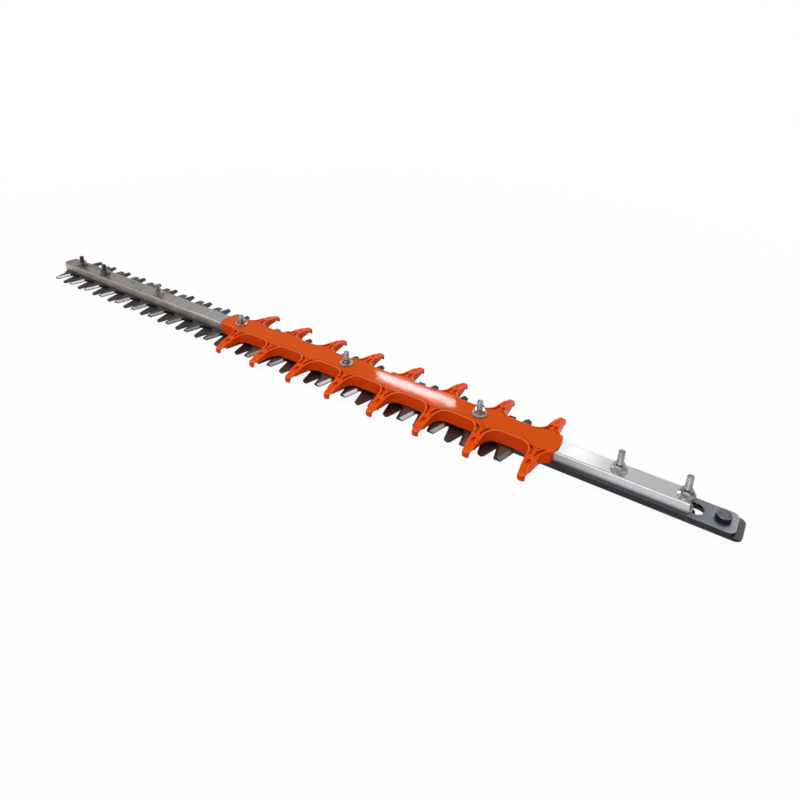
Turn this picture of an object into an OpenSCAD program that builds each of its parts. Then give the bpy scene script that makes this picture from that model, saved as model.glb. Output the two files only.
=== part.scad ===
// Cutter bar of a double-sided hedge trimmer. Two toothed blades slide to and fro against each other
// under a guide bar, and a moulded guard with prongs covers the half that is nearer to the engine.
// +X runs along the bar to the drive end and +Z is up. The origin is the centre of the gearbox
// seat, on the bar's top face, midway between the two long studs.

/* [Guide bar] */
// Length of the guide bar
bar_len = 751.5; // [700:0.5:950]
// Width of the guide bar
bar_w = 18; // [14:0.1:20]
// Height of the guide bar
bar_h = 8.1; // [6:0.1:10]
// Radius of the guide bar's upper edges
bar_edge_r = 1.8; // [0.5:0.1:3]
// Chamfer on the corners of the bar's tip
bar_tip_chamfer = 4; // [1:0.1:6]
// Distance from the bar's tip to the first bolt
tip_to_bolt = 28.5; // [26:0.1:45]
// Distance from the last bolt to the bar's drive end
bolt_to_bar_end = 4.2; // [3.5:0.1:9]

/* [Bolt stations] */
// Distance between the two studs that hold the gearbox
stud_gap = 46.6; // [38:0.1:60]
// Distance from the front stud to the rear guard bolt
stud_to_guard = 114; // [95:0.5:140]
// Distance from the single bolt ahead of the guard to the tip pair
single_to_tip = 101.8; // [60:0.1:125]
// Distance between the two bolts of the tip pair
tip_pair_gap = 46.5; // [38:0.1:60]

/* [Blades] */
// Distance from one tooth to the next
tooth_pitch = 30; // [26:0.5:36]
// Width across the teeth, tip to tip
cutting_w = 60.2; // [50:0.1:73]
// Width of the strip that carries the teeth
strip_w = 22.8; // [20:0.1:27]
// Width of a tooth at its tip
tooth_tip_w = 6; // [4:0.1:8]
// Width of a tooth at the strip, before the root radius
tooth_root_w = 16; // [12:0.1:18]
// Radius at the root of the teeth
tooth_root_r = 4; // [2:0.1:5]
// Radius on the tip corners of a tooth
tooth_tip_r = 0.8; // [0.3:0.1:1.5]
// Thickness of one blade
blade_t = 2.5; // [2:0.1:3.2]
// Width of the ground bevel along a tooth's flank
bevel_w = 2.6; // [1.5:0.1:3]
// Depth of the ground bevel
bevel_d = 1.5; // [0.8:0.1:1.8]
// Distance along the flank from the strip to the start of the bevel
bevel_start = 4.5; // [3:0.1:8]
// Distance from the gearbox seat's centre back to the upper blade's last tooth, at mid-stroke
last_tooth_back = 105.4; // [90:0.1:130]
// Shortest distance from a blade's front end to its first tooth
first_tooth_min = 10; // [9:0.1:12]
// Distance from the first bolt to the blades' front end, at mid-stroke
blade_front = 23; // [20:0.1:25]
// Distance from the seat's centre to the upper blade's tail end, at mid-stroke
upper_tail = 58.1; // [57:0.1:75]
// How much further back the lower blade's tail reaches
lower_extra = 3.3; // [0:0.1:8]
// Corner radius of the blades' ends
blade_corner_r = 5; // [2:0.1:8]

/* [Motion] */
// Full stroke of each blade
stroke = 15; // [10:0.5:18]
// How far each blade rests from mid-stroke
rest_shift = 0.6; // [0:0.1:3]
// Play left at each end of a slot at full stroke
slot_end_play = 0.3; // [0.1:0.1:0.6]
// Running gap between sliding faces
run_gap = 0.1; // [0.05:0.05:0.2]

/* [Guard] */
// Number of prongs on each side
prongs = 8; // [6:1:8]
// Distance from one prong to the next
prong_pitch = 45.84; // [40:0.1:50]
// Distance from the rear guard bolt to the last prong
bolt_to_prong = 56; // [50:0.1:68]
// Distance from the bar's middle to the end of a prong
prong_reach = 43.3; // [38:0.1:52]
// Width of a prong at its end
prong_tip_w = 7; // [5:0.1:9]
// Width of a prong where it leaves the guard's wall
prong_root_w = 11; // [9:0.1:14]
// Share of a prong's end that is round, seen from above
prong_tip_round = 0.9; // [0.2:0.05:0.95]
// Radius on the upper edge at a prong's end
prong_end_r = 1.6; // [0.5:0.1:2]
// Radius on the lower edge of a prong's hook
hook_r = 1.1; // [0.3:0.1:1.5]
// Distance from the bar's middle to the foot of the wall between two prongs
arch_y = 13.8; // [13:0.1:15]
// Radius where the wall turns into a prong
arch_r = 10; // [6:0.1:12]
// Slope of the wall between two prongs, from upright
arch_tilt = 19; // [0:1:25]
// Thickness of the guard over the bar
guard_roof_t = 1.8; // [1.2:0.1:3]
// Half width of the flat deck on top of the guard
deck_half = 11.5; // [11:0.1:12]
// Distance from the bar's middle to the bridge that closes a prong's root pockets
bridge_y = 24.4; // [23:0.1:27]
// Drop from the deck to the bridge
bridge_drop = 1.6; // [0.5:0.1:3]
// Drop from the deck to the end of a prong
prong_drop = 5.5; // [3:0.1:6.5]
// Height of a prong between its top face and its underside near the end
prong_t = 2.4; // [2:0.1:4]
// Distance that the hook at a prong's end reaches below the guide bar
hook_below = 1.8; // [0.5:0.1:3]
// Thickness of the hook at a prong's end
hook_t = 2.7; // [1.8:0.1:4]
// Gap between the guard's wall and the upper blade
guard_blade_gap = 0.4; // [0.3:0.1:1.5]
// Gap on each side between the guide bar and the guard
guard_bar_gap = 0.1; // [0.05:0.05:0.3]
// Distance from the last prong to the guard's drive end
tail_len = 13; // [11:0.1:18]
// Radius of the guard's bulged drive end
tail_bulge_r = 38; // [30:1:60]
// Distance from the first prong to the guard's front end
nose_len = 34; // [26:0.1:40]
// Half width of the guard's front end
nose_half = 11.6; // [10.2:0.1:12]
// Length over which the front end narrows
nose_taper = 19; // [8:0.1:22]
// Radius of the guard's bulged front end
nose_bulge_r = 15; // [14:0.5:40]
// Width of the rim round an arch
rim_w = 1.4; // [1:0.1:2]
// Width of the shallow groove that parts the rim from the deck
groove_w = 0.7; // [0.4:0.1:1.2]
// Depth of the groove beside the rim
groove_depth = 0.4; // [0.2:0.1:0.8]
// Width of the curved pockets at a prong's root
crescent_w = 2.8; // [1.5:0.1:3]
// Depth of the curved pockets
crescent_depth = 3.4; // [1:0.1:4.5]
// Half thickness of the rib along the middle of a prong's root
rib_half = 0.55; // [0.4:0.05:1]
// Width of the channel along a prong
channel_w = 3.4; // [2:0.1:3.6]
// Depth of the channel beside the bridge
channel_depth = 1.3; // [0.5:0.1:2]

/* [Fasteners] */
// Diameter of the bolts
thread_d = 5; // [4:0.1:5.4]
// Width of a nut across its flats
nut_af = 8; // [7:0.1:9]
// Height of a nut
nut_h = 5; // [4:0.1:5.5]
// Diameter of a nut's flange
flange_d = 12.5; // [10:0.1:13.5]
// Outer diameter of the bushes in the blades' slots
bush_d = 11.8; // [10:0.1:13]
// Running clearance across a slot
slot_clearance = 0.2; // [0.1:0.05:0.3]
// Diameter of the washers below the blades
washer_d = 16; // [14:0.1:19]
// Thickness of the washers
washer_t = 1.5; // [1:0.1:2]
// Diameter of the bolt heads
head_d = 11; // [9:0.1:13]
// Height of the bolt heads
head_h = 3; // [2.5:0.1:4]
// Width of the hexagon socket in the bolt heads
socket_af = 3; // [2.5:0.1:4]
// Depth of the hexagon socket
socket_depth = 1.8; // [1:0.1:2]
// Height of the two long studs above the bar
long_top = 16.3; // [12:0.1:25]
// Height of the middle and rear guard bolts above the bar
guard_bolt_top = 14.5; // [9.6:0.1:20]
// Height of the four short bolts above the bar
short_top = 11.5; // [9.6:0.1:14]

/* [Drive pins] */
// Distance from the seat's centre to the drive pins, at mid-stroke
drive_pin_x = 48.8; // [47:0.1:52]
// Diameter of the drive pins
pin_d = 10.6; // [8.5:0.1:12]
// Height of the upper drive pin above its blade
upper_pin_h = 4.9; // [3:0.1:7]
// Height of the lower drive pin below its blade
lower_pin_h = 4.2; // [3:0.1:4.3]
// Diameter of the riveted neck of a drive pin
pin_neck_d = 8; // [5:0.1:8.3]

/* [Hidden] */
$fn = 64;
cut = 1;               // how far a cutting shape reaches past the face that it cuts
bore_clearance = 0.2;  // bolt holes are this much wider than the bolts
nut_clearance = 0.1;   // between a nut's bore and the bolt, where their threads are left out
thread_mesh = 0.52;    // inside a nut both threads are drawn this much thinner, at their pitch diameter
pin_clearance = 0.04;  // the hole for a drive pin's neck
edge_chamfer = 0.5;    // on nuts, bolt ends, heads and pins
blend_overlap = 0.01;  // an arc cuts this far past the lines that it joins, so they truly cross
nut_flange_t = 1.1;    // thickness of a nut's flange at its rim
nut_cone_h = 0.9;      // height of the cone between a nut's flange and its hexagon
under_step = 0.6;      // rise of a prong's underside outside the guard's wall
channel_run_in = 2;    // length over which a prong's channel widens beside the bridge
channel_deep = 3;      // length of the deep part of a prong's channel
channel_fade = 0.1;    // depth of a prong's channel where it ends

// Bolt stations along the bar
bar_end_x = stud_gap / 2 + bolt_to_bar_end;
bar_tip_x = bar_end_x - bar_len;
guard_rear_x = -stud_gap / 2 - stud_to_guard;
bolt_prongs = floor((prongs - 2) / 2);
guard_bolt_gap = bolt_prongs * prong_pitch;
tip_front_x = bar_tip_x + tip_to_bolt;
tip_rear_x = tip_front_x + tip_pair_gap;
stations = [
    tip_front_x, tip_rear_x, tip_rear_x + single_to_tip,
    guard_rear_x - 2 * guard_bolt_gap, guard_rear_x - guard_bolt_gap, guard_rear_x,
    -stud_gap / 2, stud_gap / 2
];

// Levels, from the bar's top face at 0 downwards
upper_top = -bar_h - run_gap;
lower_top = upper_top - blade_t - run_gap;
lower_bottom = lower_top - blade_t;
washer_top = lower_bottom - run_gap;
head_top = washer_top - washer_t;
head_bottom = head_top - head_h;

// Teeth
tooth_reach = cutting_w / 2;
tooth_lean = atan((tooth_root_w - tooth_tip_w) / (cutting_w - strip_w));
blade_front_x = tip_front_x - blade_front;
slot_w = bush_d + slot_clearance;
slot_travel = stroke / 2 + slot_end_play;
bevel_slope = bevel_d / bevel_w;

// Guard
last_prong_x = guard_rear_x + bolt_to_prong;
first_prong_x = last_prong_x - (prongs - 1) * prong_pitch;
guard_end_x = last_prong_x + tail_len;
guard_nose_x = first_prong_x - nose_len;
wall_foot = upper_top + guard_blade_gap;
prong_lean = atan((prong_root_w - prong_tip_w) / 2 / ((prong_reach - arch_y) * cos(arch_tilt)));
prong_slope = (prong_drop - bridge_drop) / (prong_reach - bridge_y);
prong_tip_r = prong_tip_round * prong_tip_w / 2;
end_gap_extra = 24;    // how much further the outer gaps reach past the guard's ends
guard_top = guard_roof_t + cut;
arch_half = (prong_pitch - prong_root_w) / 2;
arch_depth = 4 * bar_h;    // how far the tilted cutting shapes reach down

// Root arc of an arch at deck height, from the middle of a prong, and where its pocket is widest
arc_x = prong_pitch / 2 - arc_centre_x(arch_half, prong_lean, arch_r);
arc_y = arch_y + arch_r / cos(arch_tilt) - (guard_roof_t - wall_foot) * tan(arch_tilt);
crescent_turn = 20;    // degrees towards the deck
crescent_shift = crescent_w * [cos(crescent_turn), sin(crescent_turn)];

// Half distance between the centres of the two root arcs of a gap
function arc_centre_x(half, lean, r) = half - r * (1 - sin(lean)) / cos(lean);

// Height of a prong's top face at a distance y from the bar's middle
function prong_top(y) = guard_roof_t - bridge_drop - (y - bridge_y) * prong_slope;

// The space between two teeth or prongs: a level floor, two root arcs and two leaning flanks.
// It may be grown all round, with its arcs about the same centres.
module gap_2d(half, lean, floor_y, length, r, grow = 0) {
    cx = arc_centre_x(half, lean, r);
    cy = floor_y + r;
    near = [cx, cy] + (r + grow) * [cos(lean), -sin(lean)];
    far = near + length * [sin(lean), cos(lean)];
    low = floor_y - grow;
    polygon([near, far, [-far[0], far[1]], [-near[0], near[1]], [-cx, low], [cx, low]]);
    for (side = [-1, 1]) translate([side * cx, cy]) circle(r + grow + blend_overlap);
}

// What a round corner takes off a square one, for a corner at the origin of the first quadrant
module corner_cut_2d(r) {
    difference() {
        translate([-r, -r]) square(r + cut);
        translate([-r, -r]) circle(r);
    }
}

// What rounds the corner between a leaning flank and the level end of a tooth or prong
module end_corner_cut_2d(half_w, reach, lean, r) {
    centre = [half_w + r * tan(lean) - r / cos(lean), reach - r];
    difference() {
        polygon([
            centre, centre + (r + cut) * [cos(lean), sin(lean)],
            centre + (r + cut) * [1, 1], centre + [0, r + cut]
        ]);
        translate(centre) circle(r);
    }
}

module both_sides() {
    children();
    mirror([0, 1, 0]) children();
}

// Bar that carries everything, with a flat underside for the blades
module guide_bar() {
    side_y = bar_w / 2 - bar_edge_r;
    color("silver") difference() {
        translate([bar_tip_x, 0, 0]) rotate([90, 0, 90]) linear_extrude(bar_len) union() {
            translate([-bar_w / 2, -bar_h]) square([bar_w, bar_h - bar_edge_r]);
            translate([-side_y, -bar_edge_r - cut]) square([2 * side_y, bar_edge_r + cut]);
            for (side = [-1, 1]) translate([side * side_y, -bar_edge_r]) circle(bar_edge_r);
        }
        for (x = stations) translate([x, 0, -bar_h - cut])
            cylinder(h = bar_h + 2 * cut, d = thread_d + bore_clearance);
        both_sides() translate([bar_tip_x, bar_w / 2, -bar_h - cut])
            linear_extrude(bar_h + 2 * cut) polygon([
                [-cut, -bar_tip_chamfer - cut], [bar_tip_chamfer + cut, cut], [-cut, cut]
            ]);
    }
}

// Outline of a blade: a strip with rounded ends and a row of teeth on each side
module blade_2d(last_x, teeth, tail_x, shift) {
    first_x = last_x - (teeth - 1) * tooth_pitch;
    half = (tooth_pitch - tooth_root_w) / 2;
    blank_end = tooth_root_w / 2 + tooth_root_r;
    front_x = blade_front_x + shift;
    length = 2 * (tooth_reach - strip_w / 2);
    difference() {
        union() {
            translate([front_x, -strip_w / 2]) square([tail_x - front_x, strip_w]);
            translate([first_x - blank_end, -tooth_reach])
                square([last_x - first_x + 2 * blank_end, cutting_w]);
        }
        both_sides() {
            for (i = [0 : teeth - 2]) translate([first_x + (i + 0.5) * tooth_pitch, 0])
                gap_2d(half, tooth_lean, strip_w / 2, length, tooth_root_r);
            translate([first_x - tooth_pitch, 0])
                gap_2d(half + tooth_pitch / 2, tooth_lean, strip_w / 2, length, tooth_root_r);
            translate([last_x + tooth_pitch, 0])
                gap_2d(half + tooth_pitch / 2, tooth_lean, strip_w / 2, length, tooth_root_r);
            for (i = [0 : teeth - 1], side = [0, 1]) translate([first_x + i * tooth_pitch, 0])
                mirror([side, 0]) end_corner_cut_2d(tooth_tip_w / 2, tooth_reach, tooth_lean, tooth_tip_r);
            translate([tail_x, strip_w / 2]) corner_cut_2d(blade_corner_r);
            translate([front_x, strip_w / 2]) mirror([1, 0]) corner_cut_2d(blade_corner_r);
        }
        for (x = stations) translate([x + shift, 0]) slot_2d();
        translate([drive_pin_x + shift, 0]) circle(d = pin_neck_d + pin_clearance);
    }
}

// Slot that lets a blade slide past a bush
module slot_2d() {
    translate([-slot_travel, -slot_w / 2]) square([2 * slot_travel, slot_w]);
    for (side = [-1, 1]) translate([side * slot_travel, 0]) circle(d = slot_w);
}

// Wedge that grinds one flank of a tooth, for a tooth at the origin that points along +Y
module bevel_cutter() {
    length = (tooth_reach - strip_w / 2) / cos(tooth_lean) - bevel_start + cut;
    translate([tooth_root_w / 2, strip_w / 2, 0]) rotate([0, 0, tooth_lean])
        translate([0, bevel_start + length, 0]) rotate([90, 0, 0]) linear_extrude(length) polygon([
            [-bevel_w - cut / bevel_slope, cut], [cut, -bevel_d - cut * bevel_slope], [cut, cut]
        ]);
}

// One blade, ground on its outer face: the upper face of the upper blade, the lower of the lower one
module blade(last_x, tail_x, shift, bottom, ground_below) {
    teeth = floor((last_x - shift - blade_front_x - first_tooth_min) / tooth_pitch) + 1;
    difference() {
        translate([0, 0, bottom]) linear_extrude(blade_t) blade_2d(last_x, teeth, tail_x, shift);
        translate([0, 0, bottom + blade_t / 2]) mirror([0, 0, ground_below ? 1 : 0])
            translate([0, 0, blade_t / 2]) for (i = [0 : teeth - 1], side = [0, 1])
                translate([last_x - i * tooth_pitch, 0, 0]) mirror([side, 0, 0])
                    both_sides() bevel_cutter();
    }
}

// Upper blade, which rests towards the tip by the rest shift
module upper_blade() {
    color("slategray") blade(-last_tooth_back - rest_shift, upper_tail - rest_shift,
                             -rest_shift, upper_top - blade_t, false);
}

// Lower blade, half a pitch on, which rests towards the drive end
module lower_blade() {
    color("dimgray") blade(-last_tooth_back - tooth_pitch / 2 + rest_shift,
                           upper_tail + lower_extra + rest_shift, rest_shift, lower_bottom, true);
}

// Round drive pin whose neck is riveted through a blade, standing on the blade's face
module drive_pin(height) {
    color("gray") union() {
        translate([0, 0, -blade_t]) cylinder(h = blade_t + cut, d = pin_neck_d);
        cylinder(h = height - edge_chamfer, d = pin_d);
        translate([0, 0, height - edge_chamfer])
            cylinder(h = edge_chamfer, d1 = pin_d, d2 = pin_d - 2 * edge_chamfer);
    }
}

module upper_drive_pin() {
    translate([drive_pin_x - rest_shift, 0, upper_top]) drive_pin(upper_pin_h);
}

module lower_drive_pin() {
    translate([drive_pin_x + rest_shift, 0, lower_bottom]) mirror([0, 0, 1]) drive_pin(lower_pin_h);
}

// Plan of the guard before the gaps between the prongs are cut
module guard_plan_2d() {
    shoulder_x = guard_nose_x + nose_taper;
    bulge_x = guard_end_x - tail_bulge_r;
    intersection() {
        union() {
            translate([shoulder_x, -bridge_y]) square([bulge_x - shoulder_x, 2 * bridge_y]);
            translate([bulge_x, 0]) circle(tail_bulge_r, $fn = 128);
        }
        translate([shoulder_x, -bridge_y]) square([guard_end_x - shoulder_x, 2 * bridge_y]);
    }
    intersection() {
        polygon([
            [shoulder_x + cut, arch_y], [shoulder_x, arch_y], [guard_nose_x, nose_half],
            [guard_nose_x, -nose_half], [shoulder_x, -arch_y], [shoulder_x + cut, -arch_y]
        ]);
        union() {
            translate([guard_nose_x + nose_bulge_r, 0]) circle(nose_bulge_r, $fn = 128);
            translate([guard_nose_x + nose_bulge_r, -nose_bulge_r])
                square([nose_len, 2 * nose_bulge_r]);
        }
    }
    translate([shoulder_x, -prong_reach])
        square([last_prong_x + prong_root_w / 2 - shoulder_x, 2 * prong_reach]);
}

// Section across the guard: deck, sloping prong tops, hooks, and a channel for the bar
module guard_section_2d() {
    hook_inner = prong_reach - hook_t;
    hook_bottom = -bar_h - hook_below;
    under_end = prong_top(hook_inner) - prong_t;
    channel = bar_w / 2 + guard_bar_gap;
    half = [
        [deck_half, guard_roof_t], [bridge_y, prong_top(bridge_y)],
        [prong_reach, prong_top(prong_reach)], [prong_reach, hook_bottom],
        [hook_inner, hook_bottom], [hook_inner, under_end],
        [arch_y + cut, wall_foot + under_step], [arch_y - cut, wall_foot]
    ];
    difference() {
        polygon(concat(half, [for (i = [len(half) - 1 : -1 : 0]) [-half[i][0], half[i][1]]]));
        both_sides_2d() {
            prong_end_cut_2d();
            translate([prong_reach, hook_bottom]) mirror([0, 1]) corner_cut_2d(hook_r);
        }
        translate([-channel, wall_foot - cut]) square([2 * channel, cut - wall_foot]);
    }
}

// What rounds the upper edge at the end of a prong, where its top slopes
module prong_end_cut_2d() {
    fall = atan(prong_slope);
    y = prong_reach - prong_end_r;
    centre = [y, prong_top(y) - prong_end_r / cos(fall)];
    difference() {
        polygon([
            centre, centre + (prong_end_r + cut) * [sin(fall), cos(fall)],
            centre + (prong_end_r + cut) * [1, 1], centre + [prong_end_r + cut, 0]
        ]);
        translate(centre) circle(prong_end_r);
    }
}

module both_sides_2d() {
    children();
    mirror([1, 0]) children();
}

// Plan of the space between two prongs, square to the slope of its inner wall
module arch_2d(extra, grow) {
    gap_2d(arch_half + extra, prong_lean, arch_y * cos(arch_tilt), 2 * prong_reach, arch_r, grow);
}

// Leans an arch's cutting shape so that the inner wall slopes while the prongs' flanks stay upright
module along_wall_slope() {
    translate([0, 0, wall_foot]) rotate([arch_tilt, 0, 0]) translate([0, 0, -arch_depth])
        linear_extrude(2 * arch_depth) children();
}

// Cutting shape for the space between two prongs and for the groove inside its rim
module arch_cutter(extra) {
    along_wall_slope() arch_2d(extra, 0);
    intersection() {
        translate([-prong_pitch - extra, 0, guard_roof_t - groove_depth])
            cube([2 * (prong_pitch + extra), deck_half, groove_depth + cut]);
        along_wall_slope() difference() {
            arch_2d(extra, rim_w + groove_w);
            arch_2d(extra, rim_w);
        }
    }
}

// Plan of one curved pocket at a prong's root, on its +X side
module crescent_2d() {
    r = arch_r + rim_w;
    intersection() {
        difference() {
            translate([arc_x, arc_y] - crescent_shift) circle(r);
            translate([arc_x, arc_y]) circle(r);
        }
        translate([rib_half, deck_half + rib_half])
            square([prong_pitch / 2, bridge_y - deck_half - 2 * rim_w]);
    }
}

// Plan of the small three-cornered pocket between a curved pocket and the deck
module corner_pocket_2d() {
    difference() {
        translate([rib_half, deck_half + rib_half]) square(arch_r / 2);
        translate([arc_x, arc_y] - crescent_shift) circle(arch_r + rim_w + 2 * rib_half);
    }
}

// Pockets and channel in the top of one prong, for a prong that points along +Y
module prong_pockets() {
    floor_z = guard_roof_t - crescent_depth;
    channel_start = bridge_y + rim_w;
    channel_end = prong_reach - 2 * hook_t;
    round_y = channel_end - channel_w / 2;
    deep_y = channel_start + channel_deep;
    translate([0, 0, floor_z]) linear_extrude(crescent_depth + cut) for (side = [0, 1])
        mirror([side, 0]) crescent_2d();
    translate([0, 0, floor_z + crescent_depth / 2]) linear_extrude(crescent_depth) for (side = [0, 1])
        mirror([side, 0]) corner_pocket_2d();
    intersection() {
        translate([0, 0, floor_z - bar_h]) linear_extrude(2 * bar_h) {
            translate([0, round_y]) circle(d = channel_w);
            polygon([
                [rib_half, channel_start], [channel_w / 2, channel_start + channel_run_in],
                [channel_w / 2, round_y], [-channel_w / 2, round_y],
                [-channel_w / 2, channel_start + channel_run_in], [-rib_half, channel_start]
            ]);
        }
        translate([-channel_w, 0, 0]) rotate([90, 0, 90]) linear_extrude(2 * channel_w) polygon([
            [channel_start - cut, prong_top(channel_start) - 2 * channel_depth],
            [deep_y, prong_top(deep_y) - 2 * channel_depth],
            [deep_y + cut, prong_top(deep_y + cut) - channel_depth],
            [channel_end, prong_top(channel_end) - channel_fade], [channel_end, guard_top],
            [channel_start - cut, guard_top]
        ]);
    }
}

// Takes the corners off the end of a prong that points along +Y
module prong_tip_cutter() {
    depth = 2 * bar_h;
    translate([0, 0, guard_top - depth]) linear_extrude(depth) for (side = [0, 1])
        mirror([side, 0]) end_corner_cut_2d(prong_tip_w / 2, prong_reach, prong_lean, prong_tip_r);
}

// Moulded guard: a cover over the bar with a row of hooked prongs on each side
module blade_guard() {
    color("orangered") difference() {
        intersection() {
            translate([0, 0, -3 * bar_h]) linear_extrude(4 * bar_h) guard_plan_2d();
            translate([guard_nose_x - cut, 0, 0]) rotate([90, 0, 90])
                linear_extrude(guard_end_x - guard_nose_x + 2 * cut) guard_section_2d();
        }
        both_sides() {
            for (i = [0 : prongs - 2])
                translate([first_prong_x + (i + 0.5) * prong_pitch, 0, 0]) arch_cutter(0);
            translate([first_prong_x - prong_pitch / 2 - end_gap_extra, 0, 0]) arch_cutter(end_gap_extra);
            translate([last_prong_x + prong_pitch / 2 + end_gap_extra, 0, 0]) arch_cutter(end_gap_extra);
            for (i = [0 : prongs - 1]) translate([first_prong_x + i * prong_pitch, 0, 0]) {
                prong_pockets();
                prong_tip_cutter();
            }
        }
        for (i = [3 : 5]) translate([stations[i], 0, -cut])
            cylinder(h = guard_roof_t + 2 * cut, d = thread_d + bore_clearance);
    }
}

// Bolt from below, whose end stands this high above the bar and whose nut seats at this height
module bolt(x, top, seat) {
    nut_top = seat + nut_h;
    color("gainsboro") translate([x, 0, 0]) difference() {
        union() {
            translate([0, 0, head_bottom])
                cylinder(h = edge_chamfer, d1 = head_d - 2 * edge_chamfer, d2 = head_d);
            translate([0, 0, head_bottom + edge_chamfer]) cylinder(h = head_h - edge_chamfer, d = head_d);
            translate([0, 0, head_bottom + edge_chamfer])
                cylinder(h = seat - head_bottom - edge_chamfer, d = thread_d);
            translate([0, 0, head_bottom + edge_chamfer])
                cylinder(h = top - head_bottom - 2 * edge_chamfer, d = thread_d - thread_mesh);
            translate([0, 0, nut_top]) cylinder(h = top - nut_top - edge_chamfer, d = thread_d);
            translate([0, 0, top - edge_chamfer])
                cylinder(h = edge_chamfer, d1 = thread_d, d2 = thread_d - 2 * edge_chamfer);
        }
        translate([0, 0, head_bottom - cut])
            cylinder(h = socket_depth + cut, d = socket_af / cos(30), $fn = 6);
    }
}

// Bush that carries the bar above the blades' slots
module bush(x) {
    height = -bar_h - washer_top;
    color("darkgray") translate([x, 0, washer_top]) difference() {
        cylinder(h = height, d = bush_d);
        translate([0, 0, -cut]) cylinder(h = height + 2 * cut, d = thread_d + bore_clearance);
    }
}

module washer(x) {
    color("lightgray") translate([x, 0, head_top]) difference() {
        cylinder(h = washer_t, d = washer_d);
        translate([0, 0, -cut]) cylinder(h = washer_t + 2 * cut, d = thread_d + bore_clearance);
    }
}

// Flange nut that seats at this height above the bar
module nut(x, seat) {
    corner_d = nut_af / cos(30);
    color("gainsboro") translate([x, 0, seat]) difference() {
        union() {
            cylinder(h = nut_flange_t, d = flange_d);
            translate([0, 0, nut_flange_t]) cylinder(h = nut_cone_h, d1 = flange_d, d2 = nut_af);
            intersection() {
                cylinder(h = nut_h, d = corner_d, $fn = 6);
                union() {
                    cylinder(h = nut_h - edge_chamfer, d = corner_d + cut);
                    translate([0, 0, nut_h - edge_chamfer])
                        cylinder(h = edge_chamfer, d1 = corner_d, d2 = corner_d - 2 * edge_chamfer);
                }
            }
        }
        translate([0, 0, -cut]) cylinder(h = nut_h + 2 * cut, d = thread_d - thread_mesh + nut_clearance);
    }
}

guide_bar();
upper_blade();
lower_blade();
upper_drive_pin();
lower_drive_pin();
blade_guard();
bolt(stations[0], short_top, 0);  // bolt_tip_front
bolt(stations[1], short_top, 0);  // bolt_tip_rear
bolt(stations[2], short_top, 0);  // bolt_forward
bolt(stations[3], short_top, guard_roof_t);  // bolt_guard_front
bolt(stations[4], guard_bolt_top, guard_roof_t);  // bolt_guard_middle
bolt(stations[5], guard_bolt_top, guard_roof_t);  // bolt_guard_rear
bolt(stations[6], long_top, 0);  // bolt_seat_front
bolt(stations[7], long_top, 0);  // bolt_seat_rear
bush(stations[0]);  // bush_tip_front
bush(stations[1]);  // bush_tip_rear
bush(stations[2]);  // bush_forward
bush(stations[3]);  // bush_guard_front
bush(stations[4]);  // bush_guard_middle
bush(stations[5]);  // bush_guard_rear
bush(stations[6]);  // bush_seat_front
bush(stations[7]);  // bush_seat_rear
washer(stations[0]);  // washer_tip_front
washer(stations[1]);  // washer_tip_rear
washer(stations[2]);  // washer_forward
washer(stations[3]);  // washer_guard_front
washer(stations[4]);  // washer_guard_middle
washer(stations[5]);  // washer_guard_rear
washer(stations[6]);  // washer_seat_front
washer(stations[7]);  // washer_seat_rear
nut(stations[0], 0);  // nut_tip_front
nut(stations[1], 0);  // nut_tip_rear
nut(stations[2], 0);  // nut_forward
nut(stations[3], guard_roof_t);  // nut_guard_front
nut(stations[4], guard_roof_t);  // nut_guard_middle
nut(stations[5], guard_roof_t);  // nut_guard_rear
nut(stations[6], 0);  // nut_seat_front
nut(stations[7], 0);  // nut_seat_rear
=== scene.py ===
"""Looks of a hedge trimmer's cutter bar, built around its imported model."""

import math

import bmesh
import bpy
from bpy.props import FloatProperty, FloatVectorProperty, IntProperty, PointerProperty
from mathutils import Matrix, Vector


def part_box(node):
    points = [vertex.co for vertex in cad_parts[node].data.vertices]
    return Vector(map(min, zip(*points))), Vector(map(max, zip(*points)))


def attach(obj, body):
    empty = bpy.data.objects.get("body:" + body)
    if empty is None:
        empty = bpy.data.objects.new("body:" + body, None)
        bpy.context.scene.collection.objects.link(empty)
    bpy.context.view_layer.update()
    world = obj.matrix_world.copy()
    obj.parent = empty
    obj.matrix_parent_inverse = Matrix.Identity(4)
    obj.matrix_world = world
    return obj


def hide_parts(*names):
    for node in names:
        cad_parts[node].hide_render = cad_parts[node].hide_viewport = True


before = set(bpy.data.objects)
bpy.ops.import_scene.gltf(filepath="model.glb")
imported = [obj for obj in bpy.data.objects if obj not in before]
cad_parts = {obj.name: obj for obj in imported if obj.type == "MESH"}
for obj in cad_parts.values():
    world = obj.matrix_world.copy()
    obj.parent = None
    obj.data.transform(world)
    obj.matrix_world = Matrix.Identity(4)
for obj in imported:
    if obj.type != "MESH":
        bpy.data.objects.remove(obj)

bl_info = {
    "name": "Hedge trimmer cutter bar",
    "version": (1, 0, 0),
    "blender": (4, 5, 0),
    "location": "View3D > Sidebar > Cutter Bar",
    "description": "Builds the looks of a double-sided cutter bar around its packed model",
    "category": "Object",
}

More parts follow.
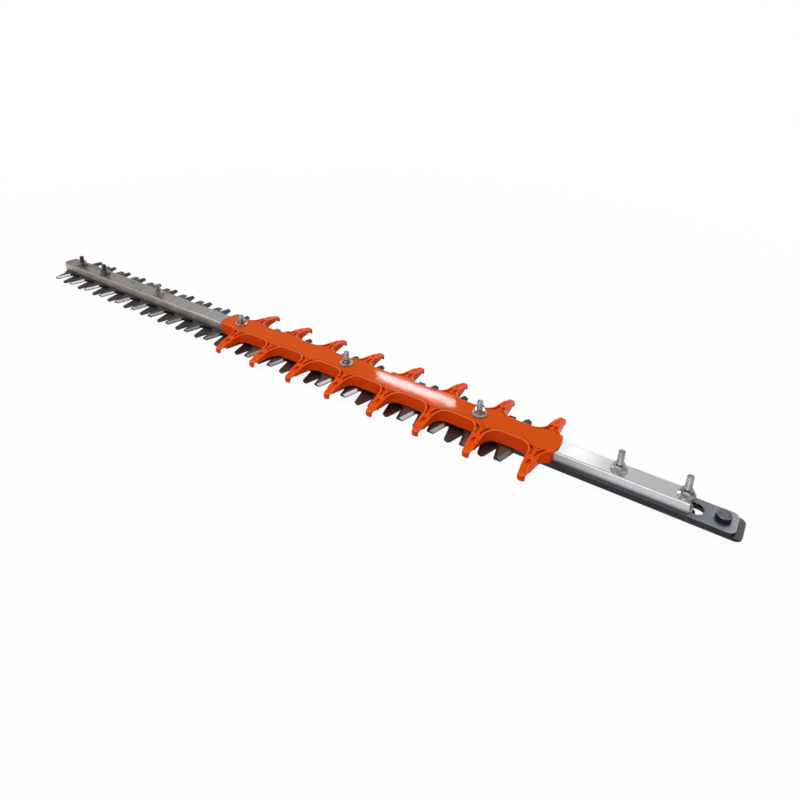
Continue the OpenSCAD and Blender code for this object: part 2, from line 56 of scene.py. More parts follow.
STATIONS = (
    "tip_front", "tip_rear", "forward", "guard_front",
    "guard_middle", "guard_rear", "seat_front", "seat_rear",
)
CARRIER = "bar_assembly"
MERGE = 1e-6
GAP_MIDDLE, PRONG_PITCH = -0.37924, 0.04584
FIRST_PRONG, LAST_PRONG = GAP_MIDDLE - 0.5 * PRONG_PITCH, GAP_MIDDLE + 6.5 * PRONG_PITCH
ARCH_CENTRE_X, ARCH_CENTRE_Y, ARCH_RADIUS = 0.00811, 0.02107, 0.01
DECK_Z, WALL_LEAN, ARCH_SQUEEZE = 0.0018, 0.344, 0.9455
FLOOR_Z = min(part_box("bolt_" + station)[0].z for station in STATIONS)
BAR_LOW, BAR_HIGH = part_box("guide_bar")


# Sizes and colours that a user would change

def length(name, default, description, **limits):
    """A size in metres."""
    return FloatProperty(name=name, description=description, default=default, unit="LENGTH",
                         subtype="DISTANCE", precision=5, **limits)


def colour(name, default, description):
    """A surface colour in linear values."""
    return FloatVectorProperty(name=name, description=description, default=default, subtype="COLOR",
                               min=0.0, max=1.0)


class CutterBarSizes(bpy.types.PropertyGroup):
    """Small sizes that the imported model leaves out."""
    guard_cell: length("Guard cell", 0.0003, "Cell of the grid in which the guard's edges are rounded", min=0.0002)
    guard_rounds: IntProperty(name="Guard rounding", description="Smoothing passes over the guard's edges",
                              default=2, min=0, max=20)
    prong_rounds: IntProperty(name="Prong end rounding", description="Further passes over the prongs' ends",
                              default=190, min=0, max=300)
    prong_end: length("Prong end", 0.0352, "Distance from the middle at which the prongs' ends begin")
    guard_faces: IntProperty(name="Guard faces", description="Most triangles that the guard may have",
                             default=190000, min=20000, max=198000)
    thread_pitch: length("Thread pitch", 0.0008, "Distance from one thread to the next", min=0.0004)
    thread_depth: length("Thread depth", 0.0004, "Depth of the thread below its crests", min=0.0001)
    thread_steps: IntProperty(name="Thread steps", description="Steps in one turn of a thread",
                              default=24, min=12, max=48)
    thread_chamfer: length("Thread chamfer", 0.0005, "Chamfer on the threaded ends")
    thread_lift: length("Thread lift", 0.00002, "Gap between a nut's top and the first bare thread")


class CutterBarColours(bpy.types.PropertyGroup):
    """Colours of the finishes."""
    guard: colour("Guard", (0.63, 0.075, 0.001), "Orange moulded plastic")
    # The steep sides' colour is painted shade: the same plastic, darker and redder.
    guard_wall_painted_shade: colour("Guard wall", (0.66, 0.052, 0.001), "The same plastic on its steep sides")
    # The prongs' colour is painted light: the same plastic, lightened where less light reaches the prongs.
    guard_prong_painted_light: colour("Guard prongs", (0.73, 0.071, 0.002), "The same plastic on the prongs")
    # The edge colour is a painted highlight on the guard's rounded edges and arch rims.
    guard_edge_highlight: colour("Guard edges", (0.85, 0.15, 0.035), "Lighter highlighted edges of the guard")
    bar: colour("Bar", (0.74, 0.75, 0.76), "Satin aluminium near the drive end")
    bar_tip: colour("Bar tip", (0.25, 0.228, 0.188), "Duller aluminium towards the tip")
    bar_stain: colour("Bar stain", (0.13, 0.1, 0.075), "Brown stains on the bar near its tip")
    # The sides' colour is painted shade: darker than the top.
    bar_side_shaded: colour("Bar side", (0.56, 0.54, 0.56), "Rougher sides of the bar")
    upper_tail: colour("Upper blade tail", (0.16, 0.169, 0.185), "Ground tail of the upper blade")
    upper_face: colour("Upper teeth", (0.08, 0.074, 0.068), "Flat faces of the upper teeth")
    upper_bevel: colour("Upper bevel", (0.19, 0.184, 0.188), "Ground bevels of the upper teeth")
    # Far-side bevel colours stand in for what those bevels mirror: painted shade on the upper blade.
    upper_far_shade: colour("Upper far bevel", (0.05, 0.049, 0.045), "Shaded bevels on the far side of the upper blade")
    # A painted reflection on the far bevels of the lower blade.
    lower_far: colour("Lower far bevel", (0.2, 0.195, 0.19), "Bevels on the far side of the lower blade")
    lower_tail: colour("Lower blade tail", (0.1, 0.09, 0.087), "Tail of the lower blade")
    lower_face: colour("Lower teeth", (0.085, 0.068, 0.064), "Flat faces of the lower teeth")
    lower_bevel: colour("Lower bevel", (0.16, 0.155, 0.155), "Ground bevels of the lower teeth")
    # The edges' dark colour is partly oiled steel and partly painted shade.
    blade_side: colour("Blade edge", (0.035, 0.035, 0.04), "Stamped edges of both blades")
    zinc: colour("Zinc", (0.45, 0.45, 0.455), "Zinc plating of the nuts and bolts")
    old_zinc: colour("Old zinc", (0.1, 0.095, 0.085), "Dull plating of the fasteners near the tip")
    pin_top: colour("Pin top", (0.24, 0.25, 0.26), "Turned end of the drive pins")
    pin_side: colour("Pin side", (0.045, 0.04, 0.042), "Dark side of the drive pins")
    bush: colour("Bush", (0.35, 0.34, 0.33), "Turned steel of the bushes")
    floor: colour("Floor", (0.85, 0.85, 0.85), "Pale floor")
    ceiling: colour("Ceiling", (0.6, 0.6, 0.61), "World above the backdrop, for what mirrors it")


class CutterBarStudio(bpy.types.PropertyGroup):
    """Camera and lamps."""
    camera_place: FloatVectorProperty(name="Camera place", description="Where the camera stands",
                                      default=(0.0497, -0.4007, 0.3105), subtype="TRANSLATION", unit="LENGTH")
    pitch: FloatProperty(name="Pitch", description="How far the camera looks down",
                         default=math.radians(23.911), subtype="ANGLE", unit="ROTATION")
    yaw: FloatProperty(name="Yaw", description="How far the camera turns from +Y towards +X",
                       default=math.radians(-33.631), subtype="ANGLE", unit="ROTATION")
    roll: FloatProperty(name="Roll", description="How far the camera leans",
                        default=math.radians(-0.805), subtype="ANGLE", unit="ROTATION")
    lens: FloatProperty(name="Lens", description="Focal length on a 36 mm wide sensor", default=28.94,
                        min=1.0, unit="CAMERA")
    shift_y: FloatProperty(name="Shift", description="Vertical shift of the picture", default=-0.1447)
    key_power: FloatProperty(name="Key lamp", description="Power of the soft lamp overhead", default=7.0,
                             min=0.0, unit="POWER")
    fill_power: FloatProperty(name="Fill lamp", description="Power of the lamp on the camera's side", default=3.5,
                              min=0.0, unit="POWER")
    deck_power: FloatProperty(name="Deck window", description="Power of the window that the guard's deck mirrors",
                              default=0.6, min=0.0, unit="POWER")
    bar_power: FloatProperty(name="Bar window", description="Power of the window that the bar mirrors by the guard",
                             default=0.06, min=0.0, unit="POWER")
    edge_power: FloatProperty(name="Edge window", description="Power of the window that the bar's edge mirrors",
                              default=2.2, min=0.0, unit="POWER")
    teeth_power: FloatProperty(name="Teeth windows", description="Power of the windows that the bevels mirror",
                               default=2.8, min=0.0, unit="POWER")
    nut_power: FloatProperty(name="Nut window", description="Power of the window that the nuts mirror",
                             default=0.8, min=0.0, unit="POWER")
    world_light: FloatProperty(name="World light", description="Strength of the light from all round",
                               default=0.55, min=0.0, max=2.0)
    floor_glow: FloatProperty(name="Floor glow", description="Share of the floor that shows as plain white",
                              default=0.95, min=0.0, max=1.0, subtype="FACTOR")
    floor_reach: length("Floor reach", 0.9, "Distance from the bar at which the floor is all white")


# Shader nodes

class Wire:
    """An output socket, on which Python's operators add Math nodes."""

    def __init__(self, surface, socket):
        self.surface = surface
        self.socket = socket

    def _math(self, operation, *values, clamp=False):
        return self.surface.node("ShaderNodeMath", {"operation": operation, "use_clamp": clamp},
                                 dict(enumerate(values)))["Value"]

    def __add__(self, other): return self._math("ADD", self, other)
    def __radd__(self, other): return self._math("ADD", other, self)
    def __sub__(self, other): return self._math("SUBTRACT", self, other)
    def __rsub__(self, other): return self._math("SUBTRACT", other, self)
    def __mul__(self, other): return self._math("MULTIPLY", self, other)
    def __rmul__(self, other): return self._math("MULTIPLY", other, self)
    def __truediv__(self, other): return self._math("DIVIDE", self, other)
    def __rtruediv__(self, other): return self._math("DIVIDE", other, self)
    def __pow__(self, other): return self._math("POWER", self, other)
    def __abs__(self): return self._math("ABSOLUTE", self)
    def clamped(self): return self._math("ADD", self, 0.0, clamp=True)
    def fraction(self): return self._math("FRACT", self)
    def positive(self): return self._math("MAXIMUM", self, 0.0)

    def step(self, low, high):
        """0 below low, 1 above high and a smooth rise between them."""
        return self.surface.node(
            "ShaderNodeMapRange", {"interpolation_type": "SMOOTHSTEP"},
            {"Value": self, "From Min": low, "From Max": high, "To Min": 0.0, "To Max": 1.0})["Result"]


class Outputs:
    """A node's output sockets, by name, as wires."""

    def __init__(self, surface, node):
        self.surface = surface
        self.node = node

    def __getitem__(self, name):
        found = [s for s in self.node.outputs if name in (s.identifier, s.name)]
        return Wire(self.surface, found[0])


class Surface:
    """A node material. Every node comes from node()."""

    def __init__(self, name, tree=None):
        if tree is None:
            self.material = bpy.data.materials.new(name)
            self.material.use_nodes = True
            tree = self.material.node_tree
        self.tree = tree
        self.shader = tree.nodes.get("Principled BSDF")

    def node(self, kind, settings=None, sockets=None):
        """Adds a node, sets its settings and then gives its sockets their values or links."""
        node = self.tree.nodes.new(kind)
        for name, value in (settings or {}).items():
            setattr(node, name, value)
        for name, value in (sockets or {}).items():
            self.feed(node, name, value)
        return Outputs(self, node)

    def feed(self, node, name, value):
        """Gives one input socket a value or a link."""
        socket = node.inputs[name] if isinstance(name, int) else next(
            s for s in node.inputs if name in (s.identifier, s.name))
        if isinstance(value, Wire):
            self.tree.links.new(value.socket, socket)
        elif hasattr(value, "__len__") and len(value) == 3 and len(socket.default_value) == 4:
            socket.default_value = (*value, 1.0)
        else:
            socket.default_value = value

    def set(self, **values):
        """Feeds the material's own shader, with spaces for the underscores."""
        for name, value in values.items():
            self.feed(self.shader, name.replace("_", " "), value)
        return self

    def place(self, stretch=(1.0, 1.0, 1.0)):
        """Object coordinates, stretched along the axes."""
        where = self.node("ShaderNodeTexCoord")["Object"]
        return self.node("ShaderNodeMapping", {"vector_type": "POINT"},
                         {"Vector": where, "Scale": stretch})["Vector"]

    def noise(self, scale, stretch=(1.0, 1.0, 1.0), detail=3.0, roughness=0.55):
        """Noise between 0 and 1. A scale of 1000 has cells of about a millimetre."""
        return self.node("ShaderNodeTexNoise", None, {
            "Vector": self.place(stretch), "Scale": scale, "Detail": detail, "Roughness": roughness})["Fac"]

    def mix(self, share, first, second):
        """A colour between two."""
        return self.node("ShaderNodeMix", {"data_type": "RGBA"}, {
            "Factor_Float": share, "A_Color": first, "B_Color": second})["Result_Color"]

    def bump(self, height, distance, strength=1.0):
        """A normal from a height."""
        return self.node("ShaderNodeBump", None, {
            "Height": height, "Distance": distance, "Strength": strength})["Normal"]

    def axis(self, name, output="Object"):
        """One object coordinate, or one part of the normal."""
        where = self.node("ShaderNodeTexCoord")[output]
        return self.node("ShaderNodeSeparateXYZ", None, {"Vector": where})[name]

    def seen(self):
        """1 where the camera looks, directly or in a mirror, and 0 for the light on the object."""
        path = self.node("ShaderNodeLightPath")
        return (path["Is Camera Ray"] + path["Is Glossy Ray"] + path["Is Transmission Ray"]).clamped()


def tint(value, share):
    """A colour made lighter or darker."""
    return tuple(min(1.0, c * share) for c in value)


def guard_plastic(colours):
    """Glossy orange moulded plastic, with painted highlights on its rounded edges and arch rims, painted shade in the
    grooves by the arches and on its steep sides, and painted light on the prongs.
    """
    s = Surface("guard_orange_plastic")
    cloud = s.noise(60.0, detail=2.0)
    grain = s.noise(2600.0, detail=2.0)
    scuff = s.noise(420.0, (0.25, 1.0, 1.0), detail=4.0).step(0.6, 0.75)
    height, aside = s.axis("Z"), abs(s.axis("Y"))
    level = abs(s.axis("Z", "Normal"))
    along = abs(((s.axis("X") - GAP_MIDDLE) / PRONG_PITCH + 0.5).fraction() - 0.5) * PRONG_PITCH
    across = (ARCH_CENTRE_Y + (DECK_Z - height) * WALL_LEAN - aside).positive() * ARCH_SQUEEZE
    inward = ((along - ARCH_CENTRE_X).positive() ** 2.0 + across ** 2.0) ** 0.5 - ARCH_RADIUS
    arched = s.axis("X").step(FIRST_PRONG, FIRST_PRONG + 0.001) * (1.0 - s.axis("X").step(LAST_PRONG - 0.001, LAST_PRONG))
    arched = arched * level.step(0.5, 0.8) * (1.0 - aside.step(0.019, 0.022))
    # Painted highlight on the rims round the arches.
    rim_highlight = arched * (1.0 - inward.step(0.0010, 0.0014))
    # Painted shade in the narrow grooves beside the arch rims.
    groove_shade = arched * inward.step(0.0011, 0.0015) * (1.0 - inward.step(0.0022, 0.0028))
    plain = s.mix(cloud, tint(colours.guard, 0.94), tint(colours.guard, 1.06))
    # Painted light: the prongs are lightened where less light reaches their sloping tops.
    plain = s.mix(aside.step(0.016, 0.022), plain, colours.guard_prong_painted_light)
    # Painted shade: the steep sides are darker and redder.
    plain = s.mix(1.0 - level.step(0.3, 0.7), plain, colours.guard_wall_painted_shade)
    # Painted highlight on the rounded edges, mixed with the rims' painted highlight in the next line.
    edge = level.step(0.35, 0.55) * (1.0 - level.step(0.88, 0.97))
    plain = s.mix((0.75 * edge + 0.6 * rim_highlight).clamped(), plain, colours.guard_edge_highlight)
    # The grooves' painted shade darkens the colour here.
    s.set(Base_Color=s.mix(groove_shade * 0.6, plain, tint(colours.guard, 0.5)),
          Roughness=0.045 + 0.02 * cloud + 0.06 * scuff,
          Specular_IOR_Level=0.05,
          Normal=s.bump(grain * 0.3 + cloud, 0.00001))
    return s.material


def bar_aluminium(colours):
    """Satin extruded aluminium, duller towards the tip and rougher on its sides, whose colours are painted light and
    shade: darker towards their bottom and away from the drive end, lighter near the tip.
    """
    s = Surface("bar_satin_aluminium")
    streak = s.noise(900.0, (0.02, 1.0, 1.0), detail=4.0)
    cloud = s.noise(30.0, detail=3.0)
    end = 1.0 - s.axis("X").step(BAR_LOW.x, BAR_LOW.x * 0.85)
    stain = (s.noise(110.0, detail=4.0) + 0.12 * end).step(0.5, 0.72)
    dull = (1.0 - s.axis("X").step(BAR_LOW.x * 0.92, BAR_LOW.x * 0.2)) * (0.8 + 0.2 * cloud)
    upright = 1.0 - abs(s.axis("Z", "Normal")).step(0.4, 0.97)
    low = 1.0 - s.axis("Z").step(BAR_LOW.z, BAR_LOW.z * 0.45)
    bright = s.mix(streak, tint(colours.bar, 0.9), tint(colours.bar, 1.1))
    worn = s.mix(stain, s.mix(cloud, tint(colours.bar_tip, 1.5), tint(colours.bar_tip, 0.95)), colours.bar_stain)
    top = s.mix(dull, bright, worn)
    by_guard = 1.0 - s.axis("X").step(-0.07, -0.02)
    # Painted shade on the sides: darker towards the bottom and away from the drive end.
    side = s.mix(low * 0.8 + by_guard * 0.7 * (1.0 - low), tint(colours.bar_side_shaded, 1.1), tint(colours.bar_side_shaded, 0.52))
    # Painted light near the tip: the sides there are lighter than the top.
    side = s.mix(dull * 0.8, side, s.mix(low, tint(colours.bar_tip, 2.1), tint(colours.bar_tip, 2.15)))
    s.set(Metallic=1.0,
          Base_Color=s.mix(upright, top, side),
          Roughness=0.2 + 0.08 * streak + 0.16 * dull + 0.16 * upright,
          Normal=s.bump(streak, 0.00001))
    return s.material


def ground_steel(name, tail, face, far_face_light_and_shade, bevel, far, side):
    """Blade steel: ground faces and bevels with their marks, dark edges that are partly oiled steel and partly painted
    shade, painted light and shade on the far teeth and far bevels, and a painted highlight towards the tail's end.
    """
    s = Surface(name)
    level = abs(s.axis("Z", "Normal"))
    flat = level.step(0.92, 0.97)
    upright = 1.0 - level.step(0.2, 0.4)
    marks = s.noise(3600.0, (1.0, 0.06, 1.0), detail=2.0)
    cloud = s.noise(70.0, detail=4.0)
    drive_end = s.axis("X").step(-0.075, -0.03)
    # Painted highlight that lightens the tail towards its end.
    end_highlight = s.axis("X").step(0.032, 0.062)
    by_guard = s.axis("X").step(-0.45, -0.42)
    near_face = s.mix(by_guard, face, (face[0] * 1.5, face[1] * 1.05, face[2] * 1.1))
    # The far teeth's faces get their own colour: painted shade on the upper blade, painted light on the lower.
    face = s.mix(s.axis("Y").step(0.008, 0.012), near_face, far_face_light_and_shade)
    # The tail mixes its grinding marks with that painted highlight towards its end.
    plain = s.mix(drive_end, s.mix(cloud, face, s.mix(0.3, face, bevel)),
                  s.mix(marks * 0.4 + end_highlight * 0.6, tint(tail, 0.82), tint(tail, 2.3)))
    # On the far-side bevels Metallic drops and a painted colour stands in for what they mirror: painted shade on the
    # upper blade, a painted reflection on the lower.
    far_side = s.axis("Y", "Normal").step(0.05, 0.12) * (1.0 - flat) * (1.0 - upright)
    honed = s.mix(far_side, s.mix(marks, tint(bevel, 0.95), tint(bevel, 1.05)), far)
    # Dark edges: partly oiled steel, partly painted shade on faces turned from the light.
    edge_oil_and_shade = s.mix(cloud, tint(side, 0.8), tint(side, 1.3))
    s.set(Metallic=1.0 - 0.85 * far_side,
          Base_Color=s.mix(upright, s.mix(flat, honed, plain), edge_oil_and_shade),
          Roughness=0.48 + 0.04 * marks - 0.16 * (1.0 - flat),
          Specular_IOR_Level=0.15,
          Normal=s.bump(cloud, 0.00001))
    return s.material


def plated(name, base, rough, side=None, shade_below=None, dull=None):
    """Cloudy bright plating. Upright faces and what is near the tip may have their own colours, and undersides a darker
    colour as painted shade.
    """
    s = Surface(name)
    cloud = s.noise(260.0, detail=3.0)
    fine = s.noise(1800.0, detail=2.0)
    tone = s.mix(cloud.step(0.35, 0.65), tint(base, 0.7), tint(base, 1.2))
    if side is not None:
        upright = 1.0 - abs(s.axis("Z", "Normal")).step(0.3, 0.7)
        tone = s.mix(upright, tone, s.mix(cloud, tint(side, 0.8), tint(side, 1.3)))
    # Painted shade on faces that look down.
    if shade_below is not None:
        tone = s.mix((0.0 - s.axis("Z", "Normal")).step(0.15, 0.4), tone, shade_below)
    if dull is not None:
        far = 1.0 - s.axis("X").step(BAR_LOW.x * 0.85, BAR_LOW.x * 0.7)
        tone = s.mix(far, tone, s.mix(cloud, tint(dull, 0.6), tint(dull, 1.2)))
    s.set(Metallic=1.0, Base_Color=tone, Roughness=rough + 0.12 * fine, Normal=s.bump(fine, 0.00001))
    return s.material


def dress(obj, *materials):
    """Gives an object these materials in its slots."""
    obj.data.materials.clear()
    for material in materials:
        obj.data.materials.append(material)


# Meshes

def merged(node):
    """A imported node's mesh with its loose triangles joined."""
    shape = bmesh.new()
    shape.from_mesh(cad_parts[node].data)
    bmesh.ops.remove_doubles(shape, verts=shape.verts, dist=MERGE)
    return shape


def piece_from(shape, name, slot, *nodes):
    """Turns a bmesh into a piece that rides with the bar and stands for these nodes."""
    mesh = bpy.data.meshes.new(name)
    shape.to_mesh(mesh)
    shape.free()
    piece = bpy.data.objects.new(name, mesh)
    bpy.context.scene.collection.objects.link(piece)
    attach(piece, CARRIER)
    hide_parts(*nodes)
    return piece


def smooth_by_angle(piece, angle):
    """Smooth shading that keeps edges over an angle sharp."""
    piece.data.polygons.foreach_set("use_smooth", [True] * len(piece.data.polygons))
    piece.data.set_sharp_from_angle(angle=math.radians(angle))


def settled(piece):
    """Gives a piece the mesh that its modifiers make, and takes them off."""
    graph = bpy.context.evaluated_depsgraph_get()
    mesh = bpy.data.meshes.new_from_object(piece.evaluated_get(graph))
    piece.modifiers.clear()
    piece.data = mesh


def soften(piece, sizes):
    """Rounds the guard's edges as moulding does, its prong ends more, and limits its triangles."""
    grid = piece.modifiers.new("rounding_grid", "REMESH")
    grid.mode, grid.voxel_size, grid.use_smooth_shade = "VOXEL", sizes.guard_cell, True
    settled(piece)
    ends = piece.vertex_groups.new(name="prong_ends")
    ends.add([v.index for v in piece.data.vertices if abs(v.co.y) > sizes.prong_end], 1.0, "REPLACE")
    for rounds, group in ((sizes.guard_rounds, ""), (sizes.prong_rounds, ends.name)):
        rub = piece.modifiers.new("rounding", "SMOOTH")
        rub.factor, rub.iterations, rub.vertex_group = 0.5, rounds, group
    thin = piece.modifiers.new("thinning", "DECIMATE")
    thin.ratio = min(1.0, sizes.guard_faces / sum(len(face.vertices) - 2 for face in piece.data.polygons))
    settled(piece)


def cut(shape, height, keep_below=False, keep_above=False):
    """Cuts a shape level, and drops what isn't kept."""
    bmesh.ops.bisect_plane(shape, geom=shape.verts[:] + shape.edges[:] + shape.faces[:], dist=1e-7,
                           plane_co=(0.0, 0.0, height), plane_no=(0.0, 0.0, 1.0),
                           clear_outer=keep_below, clear_inner=keep_above)


def close(shape):
    """Closes the open ends of a shape."""
    bmesh.ops.holes_fill(shape, edges=[e for e in shape.edges if e.is_boundary], sides=0)


def threaded_end(sizes, radius, low, high):
    """A right-hand thread on the Z axis between two heights, chamfered at its upper end."""
    pitch, steps = sizes.thread_pitch, sizes.thread_steps
    root = radius - sizes.thread_depth
    turns = math.ceil((high - low) / pitch) + 4
    start = low - 2.0 * pitch
    shape = bmesh.new()
    rib = [shape.verts.new((across, 0.0, start + share * pitch)) for across, share in (
        (root, 0.0), (root, 0.2), (radius, 0.46), (radius, 0.7), (root, 0.96), (root, 1.0))]
    rib += [shape.edges.new(pair) for pair in zip(rib, rib[1:])]
    bmesh.ops.spin(shape, geom=rib, cent=(0.0, 0.0, 0.0), axis=(0.0, 0.0, 1.0),
                   dvec=(0.0, 0.0, pitch / steps), angle=math.tau * turns, steps=steps * turns)
    bmesh.ops.remove_doubles(shape, verts=shape.verts, dist=MERGE)
    cut(shape, low, keep_above=True)
    cut(shape, high, keep_below=True)
    cut(shape, high - sizes.thread_chamfer)
    for vert in shape.verts:
        across = math.hypot(vert.co.x, vert.co.y)
        most = root + high - vert.co.z
        if across > most:
            vert.co.xy *= most / across
    close(shape)
    bmesh.ops.recalc_face_normals(shape, faces=shape.faces)
    return shape


# Operators

class CUTTERBAR_OT_guard(bpy.types.Operator):
    """Makes the moulded prong guard with its soft edges"""
    bl_idname = "cutterbar.guard"
    bl_label = "Make the guard"

    def execute(self, context):
        sizes = context.scene.cutterbar_sizes
        piece = piece_from(merged("blade_guard"), "moulded_guard", "guard_plastic", "blade_guard")
        soften(piece, sizes)
        dress(piece, guard_plastic(context.scene.cutterbar_colours))
        smooth_by_angle(piece, 60.0)
        even = piece.modifiers.new("even_shading", "WEIGHTED_NORMAL")
        even.mode, even.keep_sharp = "FACE_AREA", True
        return {"FINISHED"}


class CUTTERBAR_OT_guide_bar(bpy.types.Operator):
    """Finishes the aluminium guide bar"""
    bl_idname = "cutterbar.guide_bar"
    bl_label = "Make the guide bar"

    def execute(self, context):
        dress(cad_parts["guide_bar"], bar_aluminium(context.scene.cutterbar_colours))
        return {"FINISHED"}


class CUTTERBAR_OT_blades(bpy.types.Operator):
    """Finishes the two toothed blades"""
    bl_idname = "cutterbar.blades"
    bl_label = "Make the blades"

    def execute(self, context):
        c = context.scene.cutterbar_colours
        # The far teeth's faces: darker as painted shade on the upper blade, lighter as painted light on the lower.
        dress(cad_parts["upper_blade"],
              ground_steel("upper_blade_steel", c.upper_tail, c.upper_face, tint(c.upper_face, 0.8), c.upper_bevel, c.upper_far_shade,
                           c.blade_side))
        dress(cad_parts["lower_blade"],
              ground_steel("lower_blade_steel", c.lower_tail, c.lower_face, tint(c.lower_face, 2.2), c.lower_bevel, c.lower_far,
                           c.blade_side))
        return {"FINISHED"}


class CUTTERBAR_OT_drive_pins(bpy.types.Operator):
    """Finishes the two drive pins"""
    bl_idname = "cutterbar.drive_pins"
    bl_label = "Make the drive pins"

    def execute(self, context):
        colours = context.scene.cutterbar_colours
        turned = plated("drive_pin_steel", colours.pin_top, 0.3, colours.pin_side)
        for name in ("upper_drive_pin", "lower_drive_pin"):
            dress(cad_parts[name], turned)
        return {"FINISHED"}


class CUTTERBAR_OT_bolts(bpy.types.Operator):
    """Makes the bolts with their threads above the nuts"""
    bl_idname = "cutterbar.bolts"
    bl_label = "Make the bolts"

    def execute(self, context):
        sizes = context.scene.cutterbar_sizes
        colours = context.scene.cutterbar_colours
        # The bolts' undersides are darkened as painted shade.
        zinc = plated("bolt_zinc", colours.zinc, 0.22, shade_below=tint(colours.zinc, 0.15), dull=colours.old_zinc)
        for station in STATIONS:
            low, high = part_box("bolt_" + station)
            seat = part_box("nut_" + station)[1].z + sizes.thread_lift
            middle = (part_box("nut_" + station)[0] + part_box("nut_" + station)[1]) / 2
            shape = merged("bolt_" + station)
            bare = [v.co.xy - middle.xy for v in shape.verts if v.co.z > high.z - 0.002]
            radius = max(place.length for place in bare)
            cut(shape, seat, keep_below=True)
            close(shape)
            thread = threaded_end(sizes, radius, seat, high.z)
            bmesh.ops.translate(thread, verts=thread.verts, vec=(middle.x, middle.y, 0.0))
            joined = bpy.data.meshes.new("thread")
            thread.to_mesh(joined)
            thread.free()
            shape.from_mesh(joined)
            bpy.data.meshes.remove(joined)
            piece = piece_from(shape, "threaded_bolt_" + station, "zinc_fasteners", "bolt_" + station)
            dress(piece, zinc)
            smooth_by_angle(piece, 28.0)
        return {"FINISHED"}


class CUTTERBAR_OT_fasteners(bpy.types.Operator):
    """Finishes the nuts, washers and bushes"""
    bl_idname = "cutterbar.fasteners"
    bl_label = "Finish the nuts, washers and bushes"

    def execute(self, context):
        colours = context.scene.cutterbar_colours
        zinc = plated("nut_zinc", colours.zinc, 0.16, dull=tint(colours.old_zinc, 2.2))
        bush = plated("bush_steel", colours.bush, 0.35)
        for station in STATIONS:
            for kind in ("nut_", "washer_"):
                dress(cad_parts[kind + station], zinc)
            dress(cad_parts["bush_" + station], bush)
        return {"FINISHED"}


def soft_lamp(name, place, target, size, power):
    """An area lamp whose length lies along the bar, turned towards a place."""
    lamp = bpy.data.lights.new(name, "AREA")
    lamp.shape = "RECTANGLE"
    lamp.size, lamp.size_y = size
    lamp.energy = power
    obj = bpy.data.objects.new(name, lamp)
    bpy.context.scene.collection.objects.link(obj)
    across = Vector((0.0, target[1] - place[1], target[2] - place[2]))
    turn = Vector((0.0, 0.0, -1.0)).rotation_difference(across)
    obj.matrix_world = Matrix.Translation(place) @ turn.to_matrix().to_4x4()
    return obj


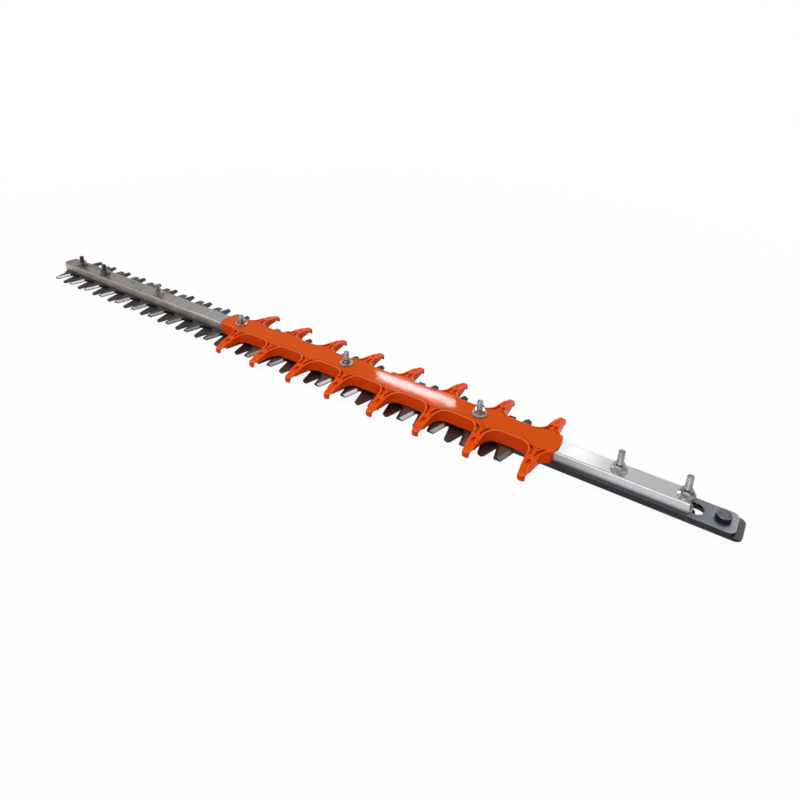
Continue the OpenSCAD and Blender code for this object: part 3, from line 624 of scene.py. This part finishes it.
class CUTTERBAR_OT_stage(bpy.types.Operator):
    """Sets up the floor, the lamps and the camera"""
    bl_idname = "cutterbar.stage"
    bl_label = "Set the stage"

    def execute(self, context):
        scene = context.scene
        studio, colours = scene.cutterbar_studio, scene.cutterbar_colours
        scene.view_settings.view_transform = "Standard"

        shape = bmesh.new()
        bmesh.ops.create_grid(shape, x_segments=1, y_segments=1, size=4.0)
        bmesh.ops.translate(shape, verts=shape.verts, vec=(BAR_LOW.x / 2, 0.0, FLOOR_Z))
        mesh = bpy.data.meshes.new("studio_floor")
        shape.to_mesh(mesh)
        shape.free()
        floor = bpy.data.objects.new("studio_floor", mesh)
        scene.collection.objects.link(floor)
        s = Surface("studio_floor_white")
        s.set(Base_Color=tuple(colours.floor), Roughness=0.9)
        away = (s.axis("X") - BAR_LOW.x / 2) ** 2.0 + s.axis("Y") ** 2.0
        glow = studio.floor_glow + (1.0 - studio.floor_glow) * (away ** 0.5).step(0.4, studio.floor_reach)
        white = s.node("ShaderNodeEmission", None, {"Color": (1.0, 1.0, 1.0), "Strength": 1.0})["Emission"]
        mixed = s.node("ShaderNodeMixShader", None, {0: s.seen() * glow})
        s.tree.links.new(s.shader.outputs[0], mixed.node.inputs[1])
        s.tree.links.new(white.socket, mixed.node.inputs[2])
        s.tree.links.new(mixed.node.outputs[0], s.tree.nodes["Material Output"].inputs["Surface"])
        dress(floor, s.material)

        world = bpy.data.worlds.new("studio_world")
        world.use_nodes = True
        scene.world = world
        w = Surface("studio_world", world.node_tree)
        back = world.node_tree.nodes["Background"]
        seen = w.seen()
        above = w.axis("Z", "Generated").step(0.1, 0.42)
        w.feed(back, "Color", w.mix(seen * above, (1.0, 1.0, 1.0), tuple(colours.ceiling)))
        w.feed(back, "Strength", seen * (1.0 - studio.world_light) + studio.world_light)

        key = soft_lamp("key_lamp", (-0.35, 0.34, 1.2), (-0.35, 0.0, 0.0), (0.9, 0.5), studio.key_power)
        key.visible_glossy = False
        soft_lamp("fill_lamp", (-0.2, -0.94, 1.2), (-0.2, 0.0, 0.0), (0.9, 0.5), studio.fill_power)
        guard, bar, blade = [[bpy.data.objects[name]] for name in ("moulded_guard", "guide_bar", "upper_blade")]
        nuts = [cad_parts["nut_" + station] for station in STATIONS]
        for name, shown_on, place, target, size, power in (
                ("deck_window", guard, (-0.600, 0.641, 0.492), (-0.195, 0.0, 0.002), (0.206, 0.008), studio.deck_power),
                ("bar_window", bar, (-0.238, 0.700, 0.540), (-0.05, 0.0, 0.0), (0.06, 0.1), studio.bar_power),
                ("edge_window", bar, (-1.59, -0.185, 1.2), (-0.43, 0.0, 0.0), (0.3, 0.3), studio.edge_power),
                ("tip_window", blade, (-0.78, 0.28, 1.2), (-0.65, 0.0, 0.0), (0.3, 0.3), studio.teeth_power),
                ("gap_window", blade, (0.13, 0.61, 1.2), (-0.25, 0.0, 0.0), (0.32, 0.24), 1.2 * studio.teeth_power),
                ("nut_window", nuts, (-0.47, 0.60, 0.60), (0.0, 0.0, 0.0), (0.2, 0.2), studio.nut_power)):
            lamp = soft_lamp(name, place, target, size, power)
            lamp.visible_diffuse = False
            mirror = bpy.data.collections.new(name + "_shows_on")
            for obj in shown_on:
                mirror.objects.link(obj)
            lamp.light_linking.receiver_collection = mirror

        lens = bpy.data.cameras.new("photo_camera")
        lens.sensor_fit, lens.sensor_width = "HORIZONTAL", 36.0
        lens.lens, lens.shift_y = studio.lens, studio.shift_y
        lens.clip_start, lens.clip_end = 0.01, 20.0
        camera = bpy.data.objects.new("photo_camera", lens)
        scene.collection.objects.link(camera)
        forward = Vector((math.sin(studio.yaw) * math.cos(studio.pitch),
                          math.cos(studio.yaw) * math.cos(studio.pitch), -math.sin(studio.pitch)))
        right = Vector((math.cos(studio.yaw), -math.sin(studio.yaw), 0.0))
        down = forward.cross(right)
        c, s_ = math.cos(studio.roll), math.sin(studio.roll)
        right, down = c * right + s_ * down, -s_ * right + c * down
        turn = Matrix((right, -down, -forward)).transposed().to_4x4()
        camera.matrix_world = Matrix.Translation(studio.camera_place) @ turn
        scene.camera = camera
        return {"FINISHED"}


class CUTTERBAR_PT_panel(bpy.types.Panel):
    """Lists the steps that build the cutter bar's looks"""
    bl_label = "Cutter Bar"
    bl_idname = "CUTTERBAR_PT_panel"
    bl_space_type = "VIEW_3D"
    bl_region_type = "UI"
    bl_category = "Cutter Bar"

    def draw(self, context):
        for operator in OPERATORS:
            self.layout.operator(operator.bl_idname)
        for group in (context.scene.cutterbar_sizes, context.scene.cutterbar_colours,
                      context.scene.cutterbar_studio):
            box = self.layout.box()
            for name in group.__annotations__:
                box.prop(group, name)


OPERATORS = (
    CUTTERBAR_OT_guard, CUTTERBAR_OT_guide_bar, CUTTERBAR_OT_blades, CUTTERBAR_OT_drive_pins,
    CUTTERBAR_OT_bolts, CUTTERBAR_OT_fasteners, CUTTERBAR_OT_stage,
)
GROUPS = (CutterBarSizes, CutterBarColours, CutterBarStudio)


def register():
    for cls in GROUPS + OPERATORS + (CUTTERBAR_PT_panel,):
        bpy.utils.register_class(cls)
    bpy.types.Scene.cutterbar_sizes = PointerProperty(type=CutterBarSizes)
    bpy.types.Scene.cutterbar_colours = PointerProperty(type=CutterBarColours)
    bpy.types.Scene.cutterbar_studio = PointerProperty(type=CutterBarStudio)


def unregister():
    del bpy.types.Scene.cutterbar_studio
    del bpy.types.Scene.cutterbar_colours
    del bpy.types.Scene.cutterbar_sizes
    for cls in reversed(GROUPS + OPERATORS + (CUTTERBAR_PT_panel,)):
        bpy.utils.unregister_class(cls)


def main():
    """Builds the whole look."""
    register()
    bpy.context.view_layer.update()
    bpy.ops.cutterbar.guard()
    bpy.ops.cutterbar.guide_bar()
    bpy.ops.cutterbar.blades()
    bpy.ops.cutterbar.drive_pins()
    bpy.ops.cutterbar.bolts()
    bpy.ops.cutterbar.fasteners()
    bpy.ops.cutterbar.stage()


if __name__ == "__main__":
    main()
